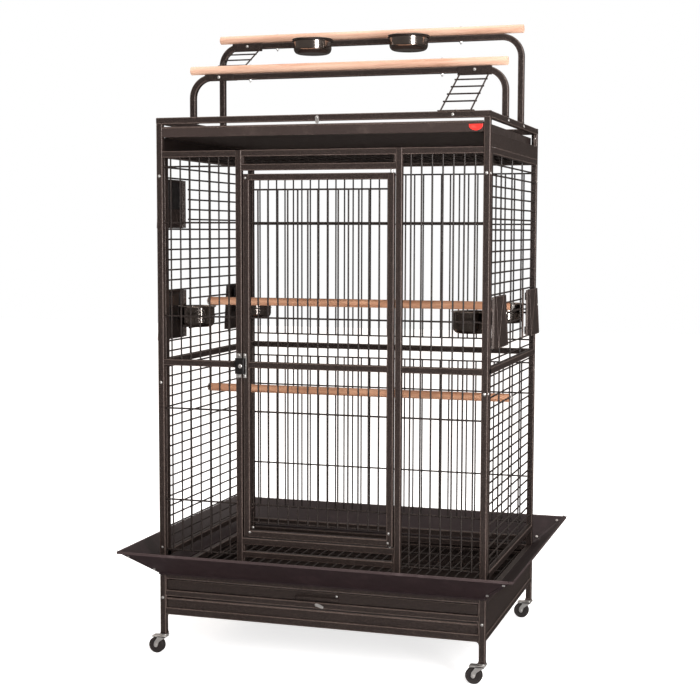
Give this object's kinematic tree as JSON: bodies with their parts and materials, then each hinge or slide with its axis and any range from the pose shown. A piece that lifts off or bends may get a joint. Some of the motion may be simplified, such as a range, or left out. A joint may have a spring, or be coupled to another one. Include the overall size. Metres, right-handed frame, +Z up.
{
  "type": "bird cage on stand",
  "caption": "Play-top parrot cage of square tube and bars on a wheeled stand, with a front door, side feeder doors, perches, ladders, skirt and slide-out trays.",
  "frame": {"origin": "on the floor under the middle of the cage", "axes": "+Z up; +X to the right of someone facing the main door; the door faces -Y"},
  "size_m": [1.21, 0.956, 1.9354],
  "materials": {
    "frame_paint": "dark brown hammertone powder coat",
    "skirt_paint": "dark purplish brown powder coat, smooth",
    "stainless": "polished stainless steel",
    "zinc": "bright zinc plate",
    "perch_wood": "unvarnished hardwood dowel",
    "wheel_plastic": "dark grey-brown moulded wheel",
    "latch_plastic": "black moulded plastic"
  },
  "bodies": {
    "cage": {"base_left": "frame_paint", "base_right": "frame_paint", "base_back": "frame_paint", "base_front_frame": "frame_paint", "skirt_front": "skirt_paint", "skirt_right": "skirt_paint", "skirt_back": "skirt_paint", "skirt_left": "skirt_paint", "side_panel_left": "frame_paint", "side_panel_right": "frame_paint", "back_panel": "frame_paint", "front_panel_left": "frame_paint", "front_panel_right": "frame_paint", "door_lintel": "frame_paint", "door_sill": "frame_paint", "door_pin_upper": "zinc", "door_pin_lower": "zinc", "cage_perch_upper": "perch_wood", "cage_perch_lower": "perch_wood", "ceiling_grille": "frame_paint", "roof_frame": "frame_paint", "arch_front": "frame_paint", "arch_rear": "frame_paint", "roof_perch_front": "perch_wood", "roof_perch_rear": "perch_wood", "cup_ring_left": "frame_paint", "cup_ring_right": "frame_paint", "play_cup_left": "stainless", "play_cup_right": "stainless", "ladder_left": "frame_paint", "ladder_right": "frame_paint"},
    "main_door": {"main_door": "frame_paint", "latch_housing": "latch_plastic"},
    "latch_cam": {"latch_cam": "zinc"},
    "feeder_left_front": {"feeder_door_left_front": "frame_paint", "feeder_bowl_left_front": "stainless"},
    "feeder_left_rear": {"feeder_door_left_rear": "frame_paint", "feeder_bowl_left_rear": "stainless"},
    "feeder_left_upper": {"feeder_door_left_upper": "frame_paint"},
    "feeder_right_front": {"feeder_door_right_front": "frame_paint", "feeder_bowl_right_front": "stainless"},
    "feeder_right_rear": {"feeder_door_right_rear": "frame_paint", "feeder_bowl_right_rear": "stainless"},
    "grate": {"floor_grate": "frame_paint", "grate_front": "frame_paint"},
    "bottom_tray": {"bottom_tray": "frame_paint"},
    "drawer_latch": {"drawer_latch": "zinc"},
    "play_tray": {"play_tray": "frame_paint"},
    "tray_clip": {"tray_clip": "zinc"},
    "caster_fork_front_left": {"caster_fork_front_left": "zinc"},
    "caster_wheel_front_left": {"caster_wheel_front_left": "wheel_plastic"},
    "caster_fork_front_right": {"caster_fork_front_right": "zinc"},
    "caster_wheel_front_right": {"caster_wheel_front_right": "wheel_plastic"},
    "caster_fork_rear_left": {"caster_fork_rear_left": "zinc"},
    "caster_wheel_rear_left": {"caster_wheel_rear_left": "wheel_plastic"},
    "caster_fork_rear_right": {"caster_fork_rear_right": "zinc"},
    "caster_wheel_rear_right": {"caster_wheel_rear_right": "wheel_plastic"}
  },
  "joints": [
    {"name": "door_hinge", "type": "hinge", "parent": "cage", "child": "main_door", "pos_m": [0.2215, -0.3715, 0.924], "axis": [0, 0, 1], "range_deg": [0, 105]},
    {"name": "latch_turn", "type": "hinge", "parent": "main_door", "child": "latch_cam", "pos_m": [-0.23325, -0.3813, 0.8983], "axis": [0, 1, 0], "range_deg": [0, 180]},
    {"name": "feeder_left_front_hinge", "type": "hinge", "parent": "cage", "child": "feeder_left_front", "pos_m": [-0.5083, -0.35, 1.039], "axis": [0, 0, 1], "range_deg": [0, 90]},
    {"name": "feeder_left_rear_hinge", "type": "hinge", "parent": "cage", "child": "feeder_left_rear", "pos_m": [-0.5083, 0.17925, 1.039], "axis": [0, 0, 1], "range_deg": [0, 90]},
    {"name": "feeder_left_upper_hinge", "type": "hinge", "parent": "cage", "child": "feeder_left_upper", "pos_m": [-0.5083, -0.35, 1.38], "axis": [0, 0, 1], "range_deg": [0, 90]},
    {"name": "feeder_right_front_hinge", "type": "hinge", "parent": "cage", "child": "feeder_right_front", "pos_m": [0.5083, -0.35, 1.039], "axis": [0, 0, -1], "range_deg": [0, 90]},
    {"name": "feeder_right_rear_hinge", "type": "hinge", "parent": "cage", "child": "feeder_right_rear", "pos_m": [0.5083, 0.17925, 1.039], "axis": [0, 0, -1], "range_deg": [0, 90]},
    {"name": "grate_slide", "type": "slide", "parent": "cage", "child": "grate", "axis": [0, -1, 0], "range_m": [0, 0.6]},
    {"name": "bottom_tray_slide", "type": "slide", "parent": "cage", "child": "bottom_tray", "axis": [0, -1, 0], "range_m": [0, 0.6]},
    {"name": "drawer_latch_turn", "type": "hinge", "parent": "cage", "child": "drawer_latch", "pos_m": [0, -0.3813, 0.19375], "axis": [0, 1, 0], "range_deg": [0, 90]},
    {"name": "play_tray_slide", "type": "slide", "parent": "cage", "child": "play_tray", "axis": [0, -1, 0], "range_m": [0, 0.5]},
    {"name": "tray_clip_turn", "type": "hinge", "parent": "cage", "child": "tray_clip", "pos_m": [0, -0.3813, 1.6235], "axis": [0, 1, 0], "range_deg": [-90, 90]},
    {"name": "caster_swivel_front_left", "type": "hinge", "parent": "cage", "child": "caster_fork_front_left", "pos_m": [-0.4985, -0.3715, 0.06], "axis": [0, 0, 1], "continuous": true},
    {"name": "wheel_spin_front_left", "type": "hinge", "parent": "caster_fork_front_left", "child": "caster_wheel_front_left", "pos_m": [-0.5225, -0.3715, 0.025], "axis": [0, 1, 0], "continuous": true},
    {"name": "caster_swivel_front_right", "type": "hinge", "parent": "cage", "child": "caster_fork_front_right", "pos_m": [0.4985, -0.3715, 0.06], "axis": [0, 0, 1], "continuous": true},
    {"name": "wheel_spin_front_right", "type": "hinge", "parent": "caster_fork_front_right", "child": "caster_wheel_front_right", "pos_m": [0.4745, -0.3715, 0.025], "axis": [0, 1, 0], "continuous": true},
    {"name": "caster_swivel_rear_left", "type": "hinge", "parent": "cage", "child": "caster_fork_rear_left", "pos_m": [-0.4985, 0.3715, 0.06], "axis": [0, 0, 1], "continuous": true},
    {"name": "wheel_spin_rear_left", "type": "hinge", "parent": "caster_fork_rear_left", "child": "caster_wheel_rear_left", "pos_m": [-0.5225, 0.3715, 0.025], "axis": [0, 1, 0], "continuous": true},
    {"name": "caster_swivel_rear_right", "type": "hinge", "parent": "cage", "child": "caster_fork_rear_right", "pos_m": [0.4985, 0.3715, 0.06], "axis": [0, 0, 1], "continuous": true},
    {"name": "wheel_spin_rear_right", "type": "hinge", "parent": "caster_fork_rear_right", "child": "caster_wheel_rear_right", "pos_m": [0.4745, 0.3715, 0.025], "axis": [0, 1, 0], "continuous": true}
  ]
}
